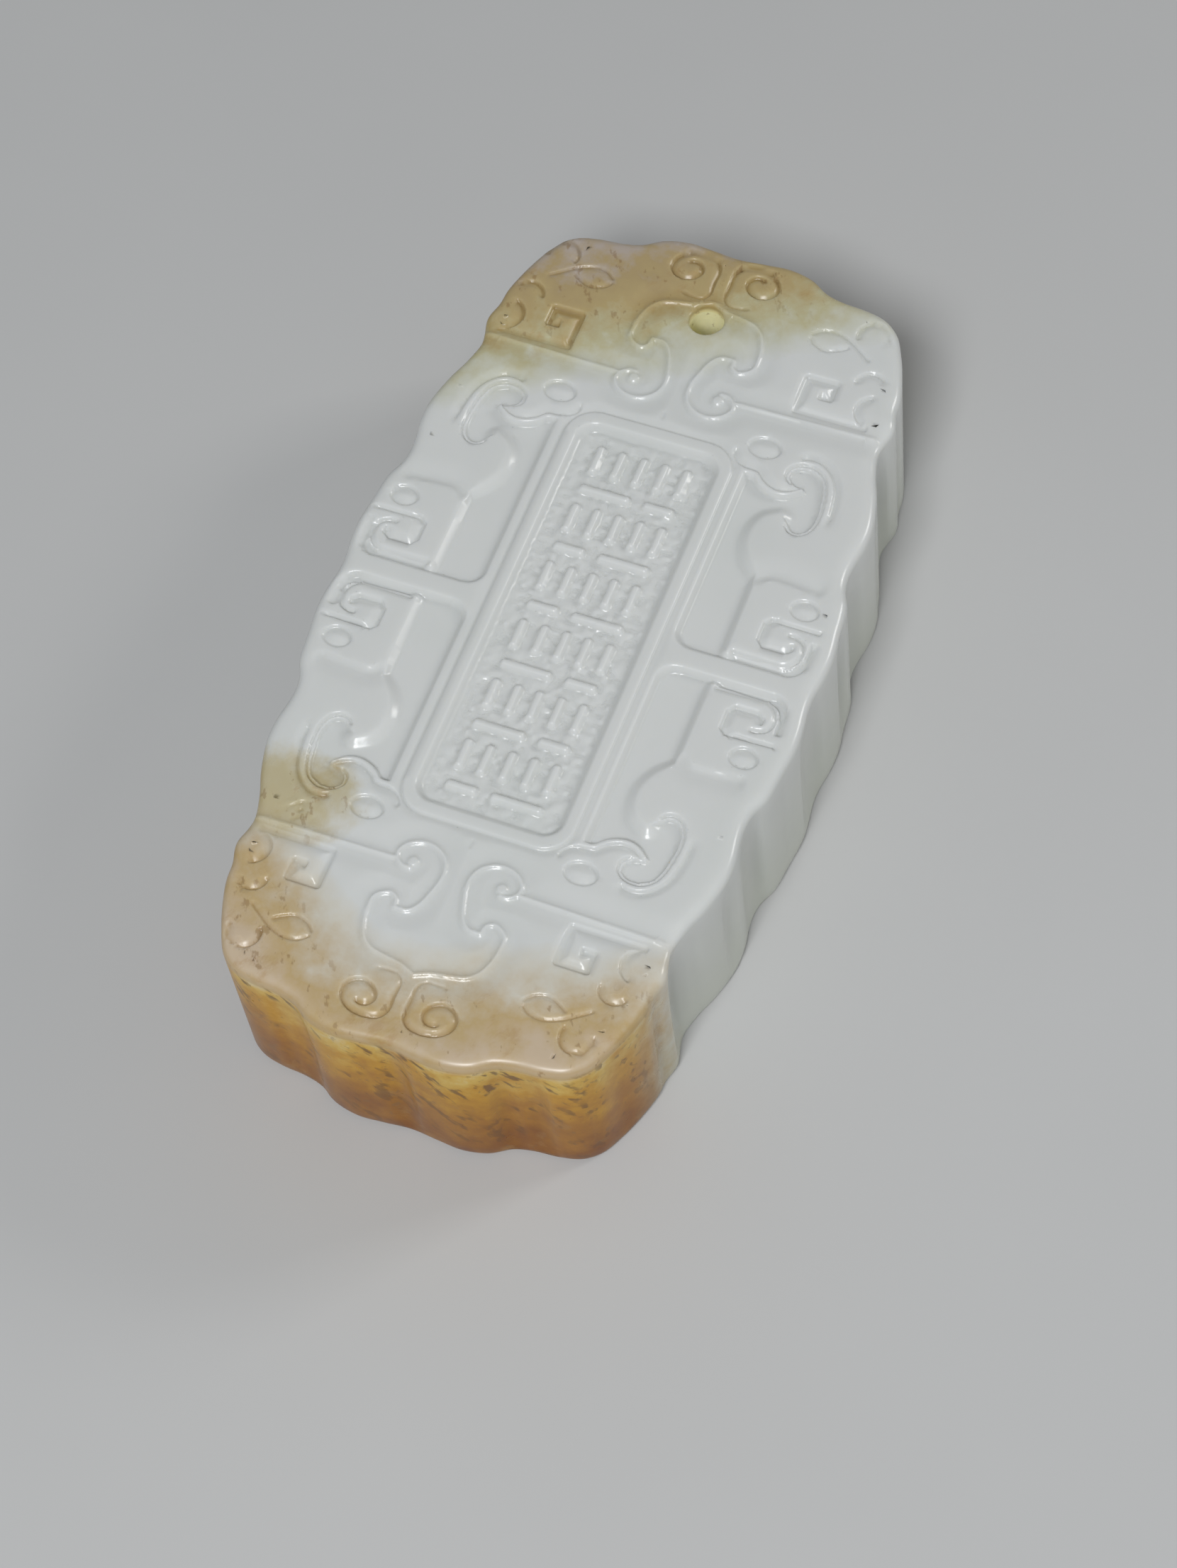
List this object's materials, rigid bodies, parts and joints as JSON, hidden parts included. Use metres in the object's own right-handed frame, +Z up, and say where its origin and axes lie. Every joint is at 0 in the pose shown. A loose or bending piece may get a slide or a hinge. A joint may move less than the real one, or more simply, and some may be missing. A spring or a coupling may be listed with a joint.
{
  "type": "jade pendant",
  "caption": "Thick carved plaque pendant of pale jade with a lobed edge, scrollwork around a sunk panel and a hole for a cord.",
  "frame": {"origin": "middle of the flat back, on the surface the pendant lies on", "axes": "+X across the plaque, +Y along it towards the cord hole, +Z up through the carved face"},
  "size_m": [0.0308, 0.0582, 0.0125],
  "materials": {
    "nephrite": "polished, pale grey-green white with golden brown skin at two ends"
  },
  "bodies": {
    "root": {"jade_plaque": "nephrite"}
  },
  "joints": []
}
